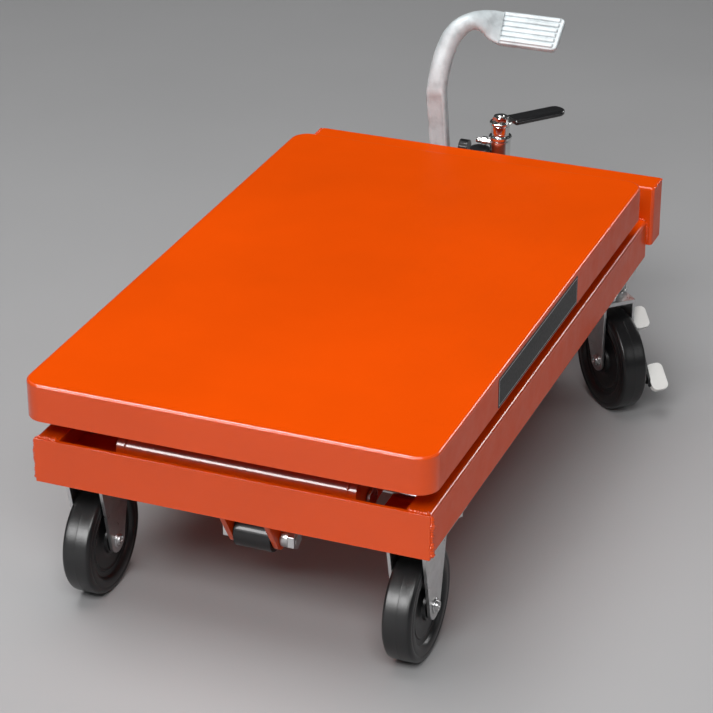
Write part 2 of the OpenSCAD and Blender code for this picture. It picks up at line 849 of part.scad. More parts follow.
module table_top() {
    y = y_front + table_l / 2;
    color(paint) difference() {
        translate([0, y, table_h - skirt_h]) linear_extrude(skirt_h) rounded_2d(table_w, table_l, corner_r);
        translate([0, y, table_h - skirt_h - cut]) linear_extrude(skirt_h - sheet_t + cut)
            rounded_2d(table_w - 2 * sheet_t, table_l - 2 * sheet_t, corner_r - sheet_t);
    }
}

module upper_tracks() {
    top = table_h - sheet_t;
    h = track_inner_h + 2 * track_t;
    w = track_x + track_t - inner_x - arm_t - 4;
    color(paint) both_sides() along_y(-100, y_front + table_l - 6)
        translate([track_x + track_t - w, top - h]) channel_2d(w, h, track_t);
}

module table_pivot_brackets() {
    top = table_h - sheet_t;
    color(paint) both_sides() difference() {
        along_x(outer_x + arm_t + 2.5, 8) hull() {
            translate(upper_pivot) circle(15);
            translate([pivot_y - 24, top - 1]) square([48, 1]);
        }
        bar_x(outer_x + arm_t, outer_x + arm_t + 12, bush_r, upper_pivot);
    }
}

module table_pivot_pins() {
    color(bright_steel) both_sides() {
        bar_x(outer_x - 3, outer_x + arm_t + 14, pin_r, upper_pivot);
        bar_x(outer_x - 3, outer_x - 0.5, pin_r + 3, upper_pivot);
        bar_x(outer_x + arm_t + 11, outer_x + arm_t + 14, pin_r + 4, upper_pivot);
    }
}

// ---------------------------------------------------------------- assembly

side_rail(-1);  // side_rail_left
side_rail(1);  // side_rail_right
front_crossmember();
rear_beam();
castor_mounts();
cylinder_bracket();
cylinder_pin();
pivot_brackets();
pivot_pins();
front_fork(-1);  // front_fork_left
front_fork(1);  // front_fork_right
front_axles();
frame_bolts();
swivel_plates();
pressure_pipe();
pipe_clips();
pump_body();
filler_cap();
plunger_gland();
pedal_bracket();
valve_body();
inner_arm(-1);  // inner_arm_left
inner_arm(1);  // inner_arm_right
front_tie_tube();
lift_crossbar();
upper_roller_pins();
centre_pins();
outer_arm(-1);  // outer_arm_left
outer_arm(1);  // outer_arm_right
lower_roller_shaft();
table_top();
upper_tracks();
table_pivot_brackets();
table_pivot_pins();
high_roller(-1);  // upper_roller_left
high_roller(1);  // upper_roller_right
low_roller(-1);  // lower_roller_left
low_roller(1);  // lower_roller_right
cylinder_barrel();
cylinder_gland();
ram();
front_wheel(-1);  // front_wheel_left
front_wheel(1);  // front_wheel_right
rear_fork(-1);  // rear_fork_left
rear_fork(1);  // rear_fork_right
rear_axle(-1);  // rear_axle_left
rear_axle(1);  // rear_axle_right
rear_wheel(-1);  // rear_wheel_left
rear_wheel(1);  // rear_wheel_right
brake_lever(-1);  // brake_lever_left
brake_lever(1);  // brake_lever_right
brake_pads(-1);  // brake_pads_left
brake_pads(1);  // brake_pads_right
pedal_lever();
pedal_shaft();
plunger();
plunger_spring();
valve_lever();
valve_grip();
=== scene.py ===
import json
import math

import bmesh
import bpy
from mathutils import Matrix, Vector


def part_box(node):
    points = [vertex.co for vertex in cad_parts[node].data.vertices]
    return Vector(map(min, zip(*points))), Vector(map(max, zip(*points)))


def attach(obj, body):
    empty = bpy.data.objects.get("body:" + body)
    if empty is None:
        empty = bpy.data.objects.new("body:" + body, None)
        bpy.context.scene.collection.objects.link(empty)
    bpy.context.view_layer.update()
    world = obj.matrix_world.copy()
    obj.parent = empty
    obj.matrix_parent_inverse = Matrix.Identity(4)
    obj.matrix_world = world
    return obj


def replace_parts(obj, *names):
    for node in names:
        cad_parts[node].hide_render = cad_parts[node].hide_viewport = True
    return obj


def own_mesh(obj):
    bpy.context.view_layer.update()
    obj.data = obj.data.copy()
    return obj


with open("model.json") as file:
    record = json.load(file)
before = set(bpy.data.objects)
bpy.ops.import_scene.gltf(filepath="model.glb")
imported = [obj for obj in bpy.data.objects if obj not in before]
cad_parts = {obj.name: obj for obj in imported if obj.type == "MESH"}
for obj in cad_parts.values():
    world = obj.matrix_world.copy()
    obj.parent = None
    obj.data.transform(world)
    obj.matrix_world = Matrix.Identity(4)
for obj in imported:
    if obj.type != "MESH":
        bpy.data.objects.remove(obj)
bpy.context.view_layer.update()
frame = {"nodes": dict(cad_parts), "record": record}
scene = bpy.context.scene
MM = 0.001
SIDES = ((1, "right"), (-1, "left"))

# ---------------------------------------------------------------- sizes, as in the CAD (mm)
Y_FRONT, Y_BACK = -475.0, 475.0
TABLE_W, TABLE_L, TABLE_H, SKIRT_H, SHEET_T = 450.0, 736.0, 277.0, 42.0, 3.0
CORNER_R, TOP_BEND_R = 22.0, 3.0
TABLE_LOW = TABLE_H - SKIRT_H

RAIL_X, RAIL_IN, RAIL_LOW, RAIL_TOP = 218.5, 191.5, 156.5, 207.5
RAIL_END = Y_FRONT + 16.5
BEAM_W, BEAM_D, BEAM_CORNER_R, BEAM_BEND_R = 452.0, 38.0, 4.4, 3.4
BEAM_CY, BEAM_TOP, BEAM_LOW = Y_FRONT + 800.0, TABLE_H - 25.5, TABLE_H - 101.5
BEAM_Y, BEAM_BACK, BEAM_X = BEAM_CY - BEAM_D / 2, BEAM_CY + BEAM_D / 2, BEAM_W / 2

CASTOR_X, CASTOR_Y = 181.0, Y_FRONT + 715.0
PEDAL_X, PEDAL_Y, PEDAL_Z = -80.5, Y_FRONT + 858.0, TABLE_H - 62.0
TREAD, TREAD_TILT = Vector((15.0, Y_BACK - 23.06, PEDAL_Z + 161.0)), math.radians(35.0)
SPRING_X, SPRING_Y, SPRING_LOW, SPRING_TOP = -54.0, PEDAL_Y + 26.0, 180.4, 210.3
SPRING_R, SPRING_WIRE_R, SPRING_TURNS, SPRING_SEAT = 9.0, 1.15, 5.5, 179.1

VALVE_X, VALVE_Y, VALVE_Z = 6.0, Y_FRONT + 845.0, TABLE_H - 58.0
SPUR_X, SPUR_Z = VALVE_X - 11.0, VALVE_Z + 34.8
HANDLE_Z, HANDLE_TURN = VALVE_Z + 61.0, math.radians(50.0)


# ---------------------------------------------------------------- shader helpers
def new_material(name):
    mat = bpy.data.materials.new(name)
    mat.use_nodes = True
    tree = mat.node_tree
    shader = tree.nodes["Principled BSDF"]
    coord = tree.nodes.new("ShaderNodeTexCoord")
    return mat, tree, shader, coord.outputs["Object"]


def noise_of(tree, where, scale, detail=3.0, rough=0.55, stretch=None):
    """A noise texture in object space; stretch squeezes it along an axis."""
    if stretch:
        mapping = tree.nodes.new("ShaderNodeMapping")
        mapping.inputs["Scale"].default_value = stretch
        tree.links.new(where, mapping.inputs["Vector"])
        where = mapping.outputs["Vector"]
    node = tree.nodes.new("ShaderNodeTexNoise")
    node.inputs["Scale"].default_value = scale
    node.inputs["Detail"].default_value = detail
    node.inputs["Roughness"].default_value = rough
    tree.links.new(where, node.inputs["Vector"])
    return node.outputs["Fac"]


def ramp_of(tree, value, stops):
    """A colour ramp; stops are (position, colour)."""
    node = tree.nodes.new("ShaderNodeValToRGB")
    while len(node.color_ramp.elements) < len(stops):
        node.color_ramp.elements.new(0.5)
    for element, (position, colour) in zip(node.color_ramp.elements, stops):
        element.position = position
        element.color = (*colour, 1.0)
    tree.links.new(value, node.inputs["Fac"])
    return node.outputs["Color"]


def range_of(tree, value, low, high, start=0.3, end=0.7):
    """Maps value from start..end to low..high."""
    node = tree.nodes.new("ShaderNodeMapRange")
    node.inputs["From Min"].default_value = start
    node.inputs["From Max"].default_value = end
    node.inputs["To Min"].default_value = low
    node.inputs["To Max"].default_value = high
    tree.links.new(value, node.inputs["Value"])
    return node.outputs["Result"]


def math_of(tree, operation, first, second):
    node = tree.nodes.new("ShaderNodeMath")
    node.operation = operation
    tree.links.new(first, node.inputs[0])
    tree.links.new(second, node.inputs[1])
    return node.outputs["Value"]


def bump_of(tree, shader, value, strength, distance, under=None):
    """Bumps the shader by value, on top of an earlier bump given as under."""
    node = tree.nodes.new("ShaderNodeBump")
    node.inputs["Strength"].default_value = strength
    node.inputs["Distance"].default_value = distance
    tree.links.new(value, node.inputs["Height"])
    if under is not None:
        tree.links.new(under, node.inputs["Normal"])
    tree.links.new(node.outputs["Normal"], shader.inputs["Normal"])
    return node.outputs["Normal"]


def normal_parts(tree):
    """How far the surface faces along X, Y and Z, without sign."""
    surface = tree.nodes.new("ShaderNodeNewGeometry")
    folded = tree.nodes.new("ShaderNodeVectorMath")
    folded.operation = "ABSOLUTE"
    tree.links.new(surface.outputs["Normal"], folded.inputs[0])
    parts = tree.nodes.new("ShaderNodeSeparateXYZ")
    tree.links.new(folded.outputs["Vector"], parts.inputs["Vector"])
    return parts.outputs


def scaled(colour, factor):
    return tuple(min(1.0, c * factor) for c in colour)


# ---------------------------------------------------------------- materials
SQUARE = (0.98, 0.999)  # a normal's part along an axis, from where a face starts to where it is square to it
FILM_LEFT = {"Z": 0.015, "X": 0.15}  # share of the clear film left on faces square to an axis
GLOSS, LEVEL_GLOSS = 0.16, 0.006  # specular level of the sheet's paint, and on its level faces


def paint_material(name, colour, rough=0.3, coat=0.5, coat_rough=0.06, peel=0.12, flat_coat=None):
    """Sprayed gloss paint: slow colour drift, orange peel, a clear film.

    With flat_coat, the film has that weight on flat faces square to an axis, and coat on bends and edges.
    """
    mat, tree, shader, where = new_material(name)
    drift = noise_of(tree, where, scale=4.5)
    tree.links.new(
        ramp_of(tree, drift, [(0.3, scaled(colour, 0.94)), (0.7, scaled(colour, 1.05))]),
        shader.inputs["Base Color"],
    )
    fine = noise_of(tree, where, scale=38.0, detail=4.0)
    tree.links.new(range_of(tree, fine, rough * 0.85, rough * 1.2), shader.inputs["Roughness"])
    if flat_coat is None:
        shader.inputs["Coat Weight"].default_value = coat
        shader.inputs["Specular IOR Level"].default_value = 0.3
    else:
        parts = normal_parts(tree)
        largest = math_of(tree, "MAXIMUM", parts["X"], parts["Y"])
        largest = math_of(tree, "MAXIMUM", largest, parts["Z"])
        weight = range_of(tree, largest, coat, flat_coat, *SQUARE)
        for axis, share in FILM_LEFT.items():
            weight = math_of(tree, "MULTIPLY", weight, range_of(tree, parts[axis], 1.0, share, *SQUARE))
        tree.links.new(weight, shader.inputs["Coat Weight"])
        gloss = range_of(tree, parts["Z"], GLOSS, LEVEL_GLOSS, *SQUARE)
        shader.inputs["Specular IOR Level"].default_value = GLOSS
        tree.links.new(gloss, shader.inputs["Specular IOR Level"])
    shader.inputs["Coat Roughness"].default_value = coat_rough
    bump_of(tree, shader, noise_of(tree, where, scale=260.0, detail=2.0), peel, 0.0004)
    return mat


def metal_material(name, colour, rough=0.3, spread=0.12, grain=0.1, stretch=None, spangle=0.0):
    """Plated or turned metal: cloudy tone, uneven gloss, fine tool or plate grain."""
    mat, tree, shader, where = new_material(name)
    shader.inputs["Metallic"].default_value = 1.0
    cloud = noise_of(tree, where, scale=30.0, detail=4.0)
    colour_out = ramp_of(tree, cloud, [(0.3, scaled(colour, 0.86)), (0.7, scaled(colour, 1.08))])
    if spangle:
        cells = tree.nodes.new("ShaderNodeTexVoronoi")
        cells.inputs["Scale"].default_value = 120.0
        tree.links.new(where, cells.inputs["Vector"])
        mix = tree.nodes.new("ShaderNodeMix")
        mix.data_type = "RGBA"
        mix.blend_type = "OVERLAY"
        mix.inputs["Factor"].default_value = spangle
        tree.links.new(colour_out, mix.inputs["A"])
        tree.links.new(cells.outputs["Color"], mix.inputs["B"])
        grey = tree.nodes.new("ShaderNodeHueSaturation")
        grey.inputs["Saturation"].default_value = 0.1
        tree.links.new(mix.outputs["Result"], grey.inputs["Color"])
        colour_out = grey.outputs["Color"]
    tree.links.new(colour_out, shader.inputs["Base Color"])
    fine = noise_of(tree, where, scale=90.0, detail=5.0, rough=0.6, stretch=stretch)
    tree.links.new(range_of(tree, fine, rough, rough + spread), shader.inputs["Roughness"])
    tooling = noise_of(tree, where, scale=700.0, rough=0.6, stretch=stretch)
    bump_of(tree, shader, tooling, grain, 0.0002)
    return mat


def cast_material(name, colour):
    """Silver paint over a fine sand casting."""
    mat, tree, shader, where = new_material(name)
    shader.inputs["Metallic"].default_value = 0.1
    cloud = noise_of(tree, where, scale=55.0, detail=5.0)
    tree.links.new(
        ramp_of(tree, cloud, [(0.32, scaled(colour, 0.8)), (0.5, colour), (0.7, scaled(colour, 1.12))]),
        shader.inputs["Base Color"],
    )
    pits = noise_of(tree, where, scale=420.0, detail=4.0, rough=0.65)
    tree.links.new(range_of(tree, pits, 0.46, 0.62), shader.inputs["Roughness"])
    lumps = bump_of(tree, shader, noise_of(tree, where, scale=95.0), 0.35, 0.0009)
    bump_of(tree, shader, pits, 0.5, 0.0005, lumps)
    return mat


def rubber_material(name, colour, rough=0.5, grain=0.25):
    """Dusty rubber with a fine grain."""
    mat, tree, shader, where = new_material(name)
    dust = noise_of(tree, where, scale=22.0, detail=5.0, rough=0.6)
    tree.links.new(
        ramp_of(tree, dust, [(0.35, colour), (0.75, scaled(colour, 1.7))]), shader.inputs["Base Color"]
    )
    tree.links.new(range_of(tree, dust, rough * 0.85, rough * 1.15), shader.inputs["Roughness"])
    bump_of(tree, shader, noise_of(tree, where, scale=600.0), grain, 0.0003)
    return mat


def plastic_material(name, colour, rough=0.42, grain=0.12, coat=0.0, specular=0.5):
    """Moulded plastic or film: faint clouds and a fine grain."""
    mat, tree, shader, where = new_material(name)
    cloud = noise_of(tree, where, scale=18.0)
    tree.links.new(
        ramp_of(tree, cloud, [(0.3, scaled(colour, 0.95)), (0.7, scaled(colour, 1.03))]),
        shader.inputs["Base Color"],
    )
    fine = noise_of(tree, where, scale=320.0)
    tree.links.new(range_of(tree, fine, rough * 0.9, rough * 1.15), shader.inputs["Roughness"])
    shader.inputs["Specular IOR Level"].default_value = specular
    shader.inputs["Coat Weight"].default_value = coat
    shader.inputs["Coat Roughness"].default_value = 0.08
    bump_of(tree, shader, fine, grain, 0.0003)
    return mat


ORANGE, BLACK, RUBBER = (0.83, 0.078, 0.0012), (0.012, 0.012, 0.013), (0.006, 0.006, 0.0065)
ZINC, STEEL, CHROME, SILVER = (0.6, 0.61, 0.62), (0.52, 0.52, 0.52), (0.74, 0.74, 0.73), (0.64, 0.7, 0.72)
WHITE, FILM = (0.9, 0.9, 0.87), (0.014, 0.014, 0.015)
FINISHES = {  # finish: what makes it, its colour, its own values
    "orange_paint": (paint_material, ORANGE, dict(
        rough=0.37, coat=0.9, coat_rough=0.085, peel=0.02, flat_coat=0.7)),
    "zinc": (metal_material, ZINC, dict(rough=0.26, spread=0.16, spangle=0.12)),
    "bright_steel": (metal_material, STEEL, dict(rough=0.24, stretch=(0.2, 6, 6))),
    "chrome": (metal_material, CHROME, dict(rough=0.12, spread=0.1, grain=0.05)),
    "cast_silver": (cast_material, SILVER, {}),
    "black_paint": (paint_material, BLACK, dict(rough=0.35, coat=0.3, peel=0.2)),
    "rubber": (rubber_material, RUBBER, dict(rough=0.34)),
    "white_plastic": (plastic_material, WHITE, {}),
    "black_vinyl": (plastic_material, BLACK, dict(rough=0.2, grain=0.06, coat=0.6)),
    "label_film": (plastic_material, FILM, dict(rough=0.4, grain=0.03, specular=0.2)),
    "label_line": (plastic_material, ZINC, dict(rough=0.35, grain=0.03)),
}
MATS = {name: make(name, colour, **values) for name, (make, colour, values) in FINISHES.items()}
SLOT_OF = {p["node"]: p["material_slot"] for p in frame["record"]["subparts"]}
BODY_OF = {n: b for b, nodes in frame["record"]["behaviour"]["bodies"].items() for n in nodes}


# ---------------------------------------------------------------- mesh helpers
def finish_mesh(name, bm, finish, body, sharp=35.0, weighted=True):
    """Makes a smooth-shaded object of bm, with the material named finish, that rides on body."""
    bmesh.ops.recalc_face_normals(bm, faces=bm.faces)
    mesh = bpy.data.meshes.new(name)
    bm.to_mesh(mesh)
    bm.free()
    mesh.shade_smooth()
    mesh.set_sharp_from_angle(angle=math.radians(sharp))
    mesh.materials.append(MATS[finish])
    obj = bpy.data.objects.new(name, mesh)
    scene.collection.objects.link(obj)
    if weighted:
        mod = obj.modifiers.new("weighted", "WEIGHTED_NORMAL")
        mod.keep_sharp = True
    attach(obj, body)
    return obj


def merge_into(bm, part):
    """Adds the mesh of part to bm and frees part."""
    mesh = bpy.data.meshes.new("part")
    part.to_mesh(mesh)
    part.free()
    bm.from_mesh(mesh)
    bpy.data.meshes.remove(mesh)


def soften(node, width, sharp=30.0):
    """A copy of a CAD node with its sharp edges rounded by width (mm), which stands for the node."""
    bm = bmesh.new()
    bm.from_mesh(frame["nodes"][node].data)
    bmesh.ops.remove_doubles(bm, verts=bm.verts, dist=0.002 * MM)
    bmesh.ops.dissolve_limit(
        bm, angle_limit=math.radians(0.15), verts=bm.verts, edges=bm.edges, use_dissolve_boundaries=False
    )
    edges = [
        e for e in bm.edges if len(e.link_faces) == 2 and e.calc_face_angle(0.0) > math.radians(sharp)
    ]
    bmesh.ops.bevel(
        bm,
        geom=edges,
        offset=width * MM,
        offset_type="OFFSET",
        segments=3 if width > 1.5 else 2,
        profile=0.5,
        affect="EDGES",
        clamp_overlap=True,
    )
    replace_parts(finish_mesh("skin_" + node, bm, SLOT_OF[node], BODY_OF[node]), node)


def rounded_loop(cx, cy, w, l, r, z, per_corner=12):
    """Points round a rectangle with round corners, anticlockwise."""
    points = []
    for i, (sx, sy) in enumerate(((1, 1), (-1, 1), (-1, -1), (1, -1))):
        for k in range(per_corner + 1):
            a = math.radians(90.0 * i + 90.0 * k / per_corner)
            points.append((
                cx + sx * (w / 2 - r) + r * math.cos(a),
                cy + sy * (l / 2 - r) + r * math.sin(a),
                z,
            ))
    return points


def skin_loops(bm, loops, closed=True):
    """Joins rings of equally many points (mm) with quads, and caps the ends if closed."""
    rings = [[bm.verts.new(Vector(p) * MM) for p in loop] for loop in loops]
    for a, b in zip(rings, rings[1:]):
        n = len(a)
        for i in range(n):
            bm.faces.new((a[i], a[(i + 1) % n], b[(i + 1) % n], b[i]))
    if closed:
        bm.faces.new(rings[0][::-1])
        bm.faces.new(rings[-1])
    return rings


def smoothstep(x, low, high):
    t = max(0.0, min(1.0, (x - low) / (high - low)))
    return t * t * (3 - 2 * t)


def smooth_path(points, per_span):
    """Catmull-Rom curve through points (mm)."""
    pts = [Vector(p) for p in points]
    pts = [2 * pts[0] - pts[1], *pts, 2 * pts[-1] - pts[-2]]
    out = []
    for i in range(1, len(pts) - 2):
        p0, p1, p2, p3 = pts[i - 1:i + 3]
        for k in range(per_span):
            t = k / per_span
            out.append(0.5 * (
                2 * p1 + (p2 - p0) * t + (2 * p0 - 5 * p1 + 4 * p2 - p3) * t * t
                + (3 * p1 - p0 - 3 * p2 + p3) * t * t * t))
    out.append(pts[-2])
    return out


def tangent_at(points, i):
    return (points[min(i + 1, len(points) - 1)] - points[max(i - 1, 0)]).normalized()


def turn_at(k, steps):
    return 2 * math.pi * k / steps


def tube_into(bm, points, radius, sides):
    """Sweeps a round section along points (mm); radius is a number or one per point."""
    pts = [Vector(p) for p in points]
    side = None
    rings = []
    for i, p in enumerate(pts):
        tangent = tangent_at(pts, i)
        if side is None:
            side = tangent.cross(Vector((0.3, 0.2, 1.0)))
        side = (side - tangent * side.dot(tangent)).normalized()
        up = tangent.cross(side)
        r = radius[i] if isinstance(radius, list) else radius
        rings.append([
            p + side * (r * math.cos(turn_at(k, sides))) + up * (r * math.sin(turn_at(k, sides)))
            for k in range(sides)
        ])
    skin_loops(bm, rings)


def lathe_into(bm, profile, centre, axis, steps, bored=False):
    """Turns profile, a list of (radius, height) in mm, about axis through centre.

    A bored shape runs round its own section and back to the first point.
    """
    axis = Vector(axis).normalized()
    side = axis.orthogonal().normalized()
    up = axis.cross(side)
    loops = []
    for r, h in profile:
        loops.append([
            Vector(centre) + axis * h
            + (side * math.cos(turn_at(k, steps)) + up * math.sin(turn_at(k, steps))) * max(r, 0.01)
            for k in range(steps)
        ])
    rings = skin_loops(bm, loops, closed=not bored)
    if bored:
        for k in range(steps):
            after = (k + 1) % steps
            bm.faces.new((rings[-1][k], rings[-1][after], rings[0][after], rings[0][k]))


def arc(cx, cy, r, start, end, n):
    """Points of an arc in (radius, height), angles in degrees."""
    angles = [math.radians(start + (end - start) * k / n) for k in range(n + 1)]
    return [(cx + r * math.cos(a), cy + r * math.sin(a)) for a in angles]


def flip(points, side):
    return [(side * p[0], p[1], p[2]) for p in points]


# ---------------------------------------------------------------- folded sheets
BEND_STEPS = 6


def folded_tray(name, node, body, plan, heights, bend, rim, per_corner):
    """A folded sheet, open below, with round corners and a bend round its top.

    plan is (centre y, width, length, corner radius), heights is (top, low edge), and rim is rows of
    (inset, height) round the low edge and up inside, above the low edge or below the top if negative.
    """
    cy, width, length, corner = plan
    top, low = heights
    rows = []
    for k in range(BEND_STEPS + 1):
        a = math.radians(90.0 * k / BEND_STEPS)
        rows.append((bend * (1 - math.sin(a)), top - bend * (1 - math.cos(a))))
    rows += [(inset, low + up if up >= 0 else top + up) for inset, up in rim]
    bm = bmesh.new()
    skin_loops(bm, [
        rounded_loop(0, cy, width - 2 * inset, length - 2 * inset, max(0.6, corner - inset), z, per_corner)
        for inset, z in rows
    ])
    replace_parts(finish_mesh(name, bm, "orange_paint", body), node)


def make_sheets():
    """The table's top with its skirt, and the rear beam."""
    folded_tray(
        "table_shell", "table_top", "table", (Y_FRONT + TABLE_L / 2, TABLE_W, TABLE_L, CORNER_R),
        (TABLE_H, TABLE_LOW), TOP_BEND_R,
        [(0, 0.8), (0.25, 0.25), (0.8, 0), (SHEET_T - 0.6, 0), (SHEET_T, 0.6), (SHEET_T, -SHEET_T)], 12)
    folded_tray(
        "beam_shell", "rear_beam", "base", (BEAM_CY, BEAM_W, BEAM_D, BEAM_CORNER_R),
        (BEAM_TOP, BEAM_LOW), BEAM_BEND_R,
        [(0, 0.7), (0.7, 0), (SHEET_T - 0.6, 0), (SHEET_T, 0.6), (SHEET_T, -SHEET_T)], 8)


# ---------------------------------------------------------------- label
LABEL_Y, LABEL_Z = (Y_FRONT + 196.0, Y_FRONT + 468.0), (TABLE_H - 40.0, TABLE_H - 5.5)
LABEL_CORNER_R = 2.6
LABEL_LAYERS = (  # part, inset from the label's edge, height above the skirt, finish
    ("film", 0.0, 0.25, "label_film"),
    ("line", 2.2, 0.32, "label_line"),
    ("field", 3.0, 0.38, "label_film"),
)


def make_label():
    """Plain dark film on the skirt with a pale edge line."""
    for side, tag in SIDES:
        for part, inset, proud, finish in LABEL_LAYERS:
            y0, y1 = LABEL_Y[0] + inset, LABEL_Y[1] - inset
            z0, z1 = LABEL_Z[0] + inset, LABEL_Z[1] - inset
            r = max(0.4, LABEL_CORNER_R - inset)
            outline = rounded_loop((y0 + y1) / 2, (z0 + z1) / 2, y1 - y0, z1 - z0, r, 0, 5)
            bm = bmesh.new()
            skin_loops(bm, [
                [(side * x, p[0], p[1]) for p in outline]
                for x in (TABLE_W / 2 - 0.05, TABLE_W / 2 + proud)
            ])
            finish_mesh("label_%s_%s" % (part, tag), bm, finish, "table", 30.0)


# ---------------------------------------------------------------- wheels
DIAGONAL = math.sqrt(0.5)
AXLES = {  # the rear castors stand turned outwards by 45 degrees
    "front_wheel_left": (1, 0, 0), "front_wheel_right": (1, 0, 0),
    "rear_wheel_right": (DIAGONAL, DIAGONAL, 0), "rear_wheel_left": (-DIAGONAL, DIAGONAL, 0),
}


def wheel_profile():
    """The wheel's section, from the bore out on one side and back on the other.

    Points are (radius, height along the axle).
    """
    half = 16.0
    right = [
        (6.1, 17.1), (9.5, 17.1), (10.2, 16.4), (15.6, 16.0), (16.8, 15.4), (17.6, 12.4), (19.5, 11.3),
        (24.0, 11.0), (33.0, 11.0), (35.2, 11.3), (36.2, 12.2), (37.0, 12.2), (38.0, 11.3), (41.5, 11.2),
        (43.5, 11.9), (45.0, 14.4), (46.6, 15.5), (49.0, half), (53.0, half), (53.8, 15.5), (54.8, 15.5),
        (55.6, half),
    ]
    right += arc(57.2, 11.2, 4.8, 88, 12, 7)
    right += [(62.1, 9.5), (62.2, 6.0), (62.2, 0.7), (62.42, 0.25)]
    return right + [(r, -h) for r, h in reversed(right)]


def make_wheel(node, axle):
    """A turned wheel with a tyre, web and hub, which stands for the CAD wheel."""
    lo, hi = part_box(node)
    bm = bmesh.new()
    lathe_into(bm, wheel_profile(), (lo + hi) / 2 / MM, axle, 96, bored=True)
    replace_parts(finish_mesh("wheel_" + node, bm, "rubber", BODY_OF[node], 38.0), node)


# ---------------------------------------------------------------- pedal casting
PEDAL_STATIONS = (  # x, y and z from the shaft, half depth, half width, squareness, groove, turn
    (-80.0, 4.0, -10.0, 7.5, 11.6, 5.0, 0.6, 0.0),
    (-80.5, 4.0, 8.0, 8.0, 12.0, 5.0, 1.6, 0.0),
    (-83.0, 4.0, 45.0, 8.4, 12.4, 5.0, 2.0, 0.0),
    (-85.5, 4.0, 78.0, 8.8, 12.6, 5.0, 1.9, 0.0),
    (-86.4, 5.2, 93.0, 10.2, 12.6, 3.4, 0.7, 0.0),
    (-84.8, 12.5, 117.0, 11.8, 12.6, 2.6, 0.0, 0.0),
    (-81.5, 20.5, 138.0, 12.2, 12.6, 2.2, 0.0, 0.0),
    (-75.5, 28.5, 156.0, 12.2, 12.4, 2.0, 0.0, 0.1),
    (-65.5, 37.0, 168.5, 12.0, 11.8, 2.0, 0.0, 0.25),
    (-53.5, 45.0, 174.5, 12.8, 10.2, 2.0, 0.0, 0.5),
    (-42.5, 52.5, 172.5, 16.5, 8.0, 2.1, 0.0, 0.8),
    (-33.0, 59.0, 167.0, 21.5, 5.8, 2.4, 0.0, 1.0),
    (-22.0, 64.0, 162.5, 24.0, 4.2, 3.0, 0.0, 1.0),
)
PEDAL_PER_SPAN, PEDAL_SIDES = 7, 48
PEDAL_HUB = (
    (0.0, -12.5), (12.5, -12.5), (14.2, -11.9), (15.0, -10.6), (15.0, 10.0), (14.4, 11.2), (13.0, 11.8),
    (0.0, 11.8),
)
TREAD_RIBS, RIB_PITCH = 6, 7.8
CAST_VOXEL = 0.8


def pedal_ring(p, tangent, size, groove, turn):
    """One section of the lever, a superellipse with a groove down its front and back."""
    half_u, half_v, power = size
    u = Vector((0, math.cos(TREAD_TILT * turn), math.sin(TREAD_TILT * turn)))
    u = (u - tangent * u.dot(tangent)).normalized()
    v = tangent.cross(u)
    ring = []
    for k in range(PEDAL_SIDES):
        c, s = math.cos(turn_at(k, PEDAL_SIDES)), math.sin(turn_at(k, PEDAL_SIDES))
        cu = math.copysign(abs(c) ** (2 / power), c) * half_u
        cv = math.copysign(abs(s) ** (2 / power), s) * half_v
        dip = groove * (1 - smoothstep(abs(cv) / half_v, 0.55, 0.78))
        cu -= math.copysign(dip, cu)
        ring.append(p + u * cu + v * cv)
    return ring


def tread_slab_into(bm, w, l, r, z0, z1, cx=0.0, cy=0.0, ease=1.0):
    """A slab with round corners and eased edges, in the tread's tilted axes."""
    part = bmesh.new()
    skin_loops(part, [
        rounded_loop(cx, cy, w - 2 * inset, l - 2 * inset, max(0.3, r - inset), z, 6)
        for inset, z in ((ease, z0), (ease * 0.3, z0 + ease * 0.3), (0, z0 + ease), (0, z1 - ease),
                         (ease * 0.3, z1 - ease * 0.3), (ease, z1))
    ])
    part.transform(Matrix.Translation(TREAD * MM) @ Matrix.Rotation(TREAD_TILT, 4, "X"))
    merge_into(bm, part)


def make_pedal():
    """Cast lever: grooved shank, round neck flaring into a ribbed tread, blended as one casting."""
    rows = PEDAL_STATIONS
    path = smooth_path([(r[0], PEDAL_Y + r[1], PEDAL_Z + r[2]) for r in rows], PEDAL_PER_SPAN)
    sizes = smooth_path([r[3:6] for r in rows], PEDAL_PER_SPAN)
    grooves_turns = smooth_path([(r[6], r[7], 0) for r in rows], PEDAL_PER_SPAN)
    bm = bmesh.new()
    skin_loops(bm, [
        pedal_ring(p, tangent_at(path, i), sizes[i], max(0.0, extra[0]), max(0.0, min(1.0, extra[1])))
        for i, (p, extra) in enumerate(zip(path, grooves_turns))
    ])
    lathe_into(bm, PEDAL_HUB, (PEDAL_X, PEDAL_Y, PEDAL_Z), (1, 0, 0), 48)
    tread_slab_into(bm, 82.0, 50.0, 7.0, -4.5, 3.2, ease=1.5)
    for i in range(TREAD_RIBS):
        cy = (i - (TREAD_RIBS - 1) / 2) * RIB_PITCH
        tread_slab_into(bm, 76.0, 5.7, 1.0, 2.0, 5.7, cx=-2.4, cy=cy, ease=0.7)
    obj = finish_mesh("pedal_casting", bm, "cast_silver", "pedal", 60.0, weighted=False)
    remesh = obj.modifiers.new("cast", "REMESH")
    remesh.mode = "VOXEL"
    remesh.voxel_size = CAST_VOXEL * MM
    remesh.use_smooth_shade = True
    soft = obj.modifiers.new("soft", "SMOOTH")
    soft.factor, soft.iterations = 0.5, 2
    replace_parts(obj, "pedal_lever")


